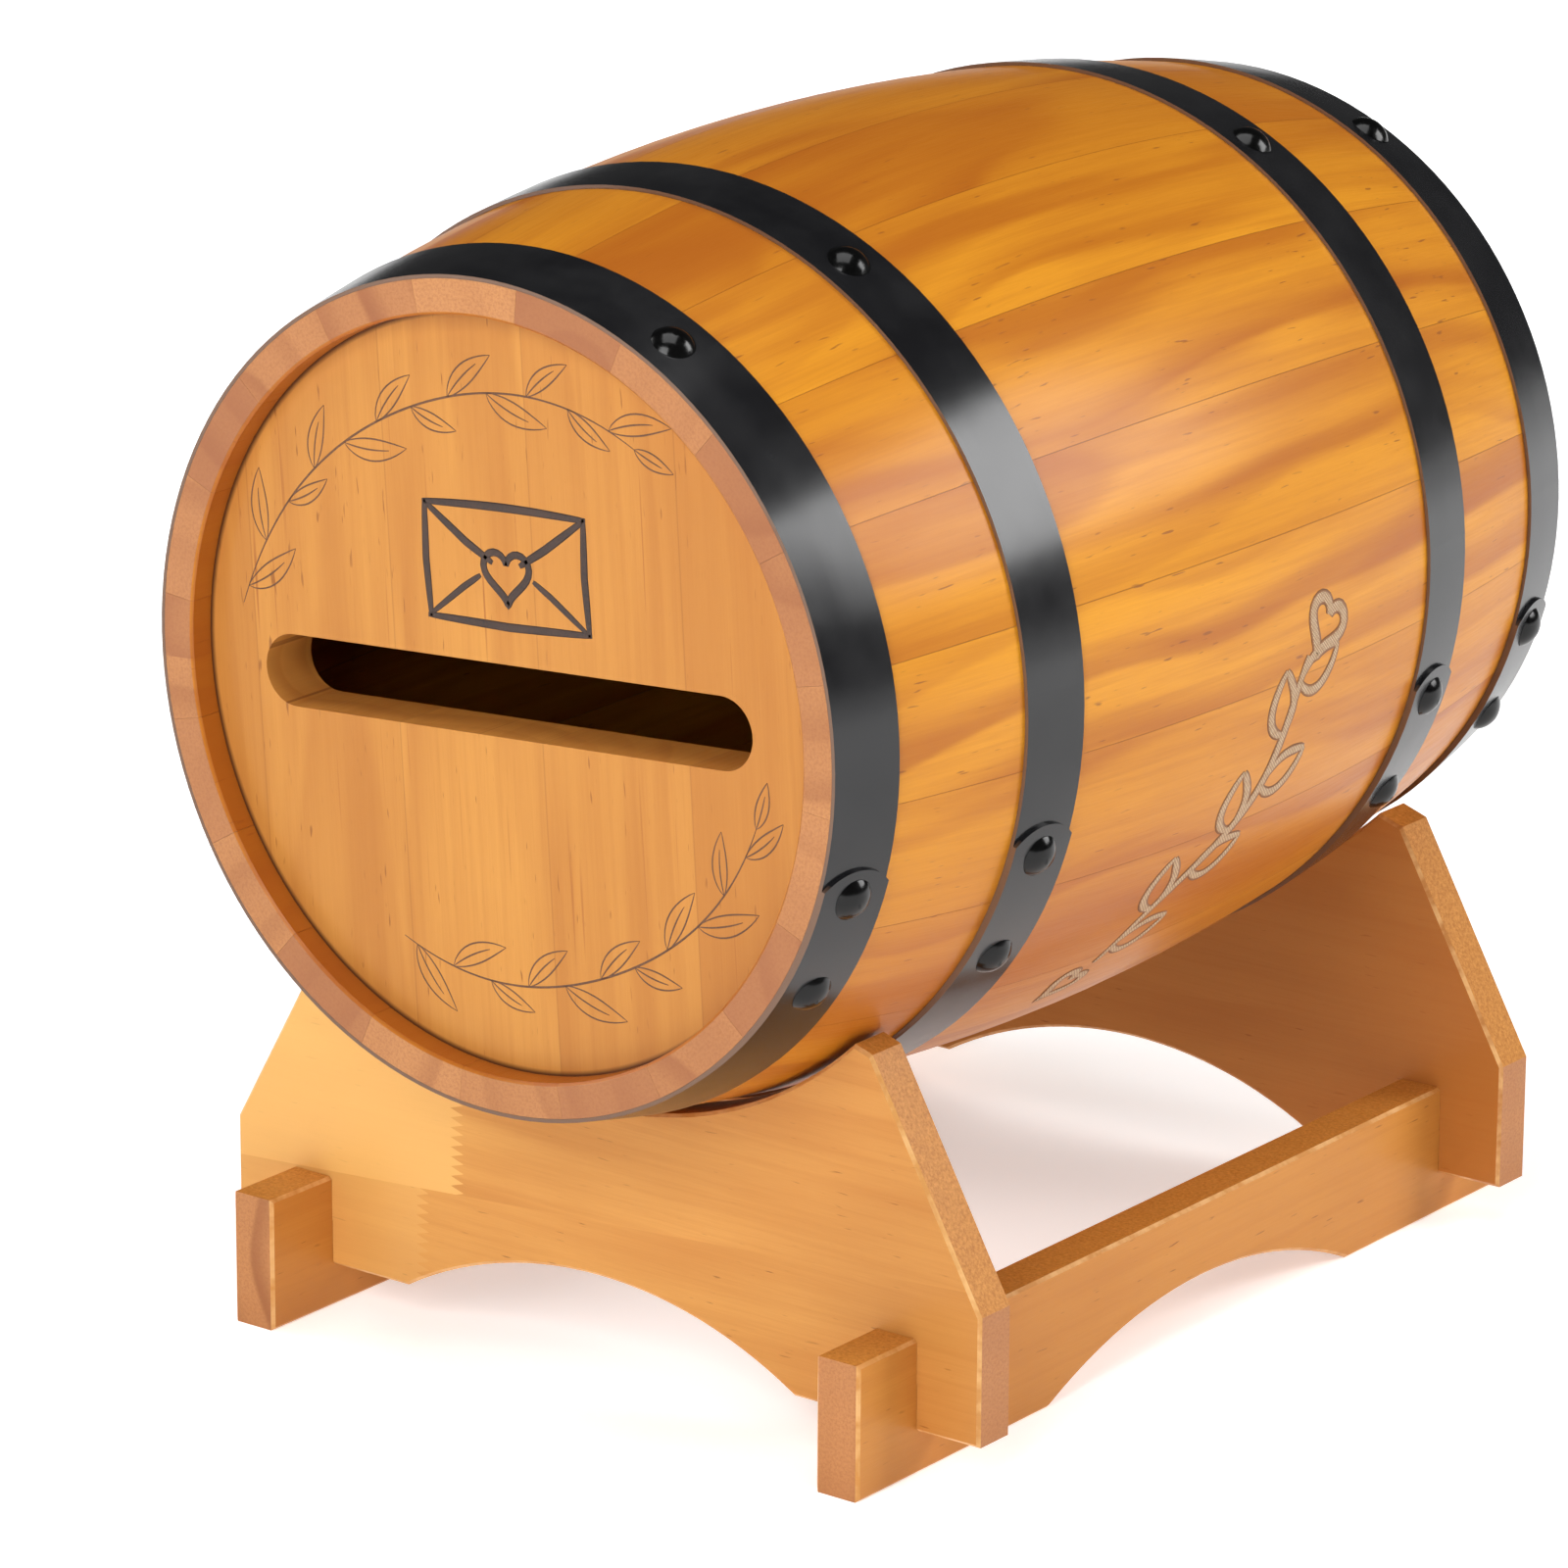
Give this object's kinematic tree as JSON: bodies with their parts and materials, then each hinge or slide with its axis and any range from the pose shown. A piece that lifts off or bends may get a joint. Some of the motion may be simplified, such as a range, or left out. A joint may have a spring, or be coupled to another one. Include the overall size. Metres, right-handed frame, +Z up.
{
  "type": "wedding card box",
  "caption": "Small stave barrel lying on a wooden cradle stand, with a slot for cards in its front head and a hinged rear door that a padlock can close.",
  "frame": {"origin": "on the floor, below the middle of the whole object", "axes": "+Z up, barrel axis along Y, the slotted head faces -Y, +X to the right when looking at the slot"},
  "size_m": [0.23, 0.3098, 0.2943],
  "materials": {
    "pine_staves": "honey-orange lacquer, satin",
    "pine_heads": "honey-orange lacquer, satin",
    "pine_stand": "stained pine, satin",
    "black_hoops": "satin black paint",
    "black_rivets": "satin black paint",
    "brass_hardware": "brushed and lacquered",
    "steel_screws": "bright"
  },
  "bodies": {
    "stand": {"front_cradle_board": "pine_stand", "rear_cradle_board": "pine_stand", "left_rail": "pine_stand", "right_rail": "pine_stand"},
    "barrel": {"door_stop": "pine_heads", "front_head": "pine_heads", "hinge_frame_leaf": "brass_hardware", "hinge_frame_screws": "steel_screws", "hinge_pin": "brass_hardware", "hoop_1": "black_hoops", "hoop_1_rivets": "black_rivets", "hoop_2": "black_hoops", "hoop_2_rivets": "black_rivets", "hoop_3": "black_hoops", "hoop_3_rivets": "black_rivets", "hoop_4": "black_hoops", "hoop_4_rivets": "black_rivets", "rear_frame": "pine_heads", "staple": "brass_hardware", "staple_screws": "steel_screws", "stave_01": "pine_staves", "stave_02": "pine_staves", "stave_03": "pine_staves", "stave_04": "pine_staves", "stave_05": "pine_staves", "stave_06": "pine_staves", "stave_07": "pine_staves", "stave_08": "pine_staves", "stave_09": "pine_staves", "stave_10": "pine_staves", "stave_11": "pine_staves", "stave_12": "pine_staves", "stave_13": "pine_staves", "stave_14": "pine_staves", "stave_15": "pine_staves", "stave_16": "pine_staves", "stave_17": "pine_staves", "stave_18": "pine_staves", "stave_19": "pine_staves", "stave_20": "pine_staves"},
    "door": {"door_batten_lower": "pine_heads", "door_batten_screws": "steel_screws", "door_batten_upper": "pine_heads", "door_board_1": "pine_heads", "door_board_2": "pine_heads", "door_board_3": "pine_heads", "hasp_pin": "brass_hardware", "hasp_plate": "brass_hardware", "hasp_screws": "steel_screws", "hinge_door_leaf": "brass_hardware", "hinge_door_screws": "steel_screws"},
    "hasp": {"hasp_strap": "brass_hardware"}
  },
  "joints": [
    {"name": "barrel_lift", "type": "slide", "parent": "stand", "child": "barrel", "axis": [0, 0, 1], "range_m": [0, 0.12]},
    {"name": "door_hinge", "type": "hinge", "parent": "barrel", "child": "door", "pos_m": [-0.0679, 0.14405, 0.17493], "axis": [-0.0645, 0, 0.9979], "range_deg": [0, 145]},
    {"name": "hasp_hinge", "type": "hinge", "parent": "door", "child": "hasp", "pos_m": [0.05134, 0.14405, 0.18264], "axis": [-0.0645, 0, 0.9979], "range_deg": [0, 170]}
  ]
}
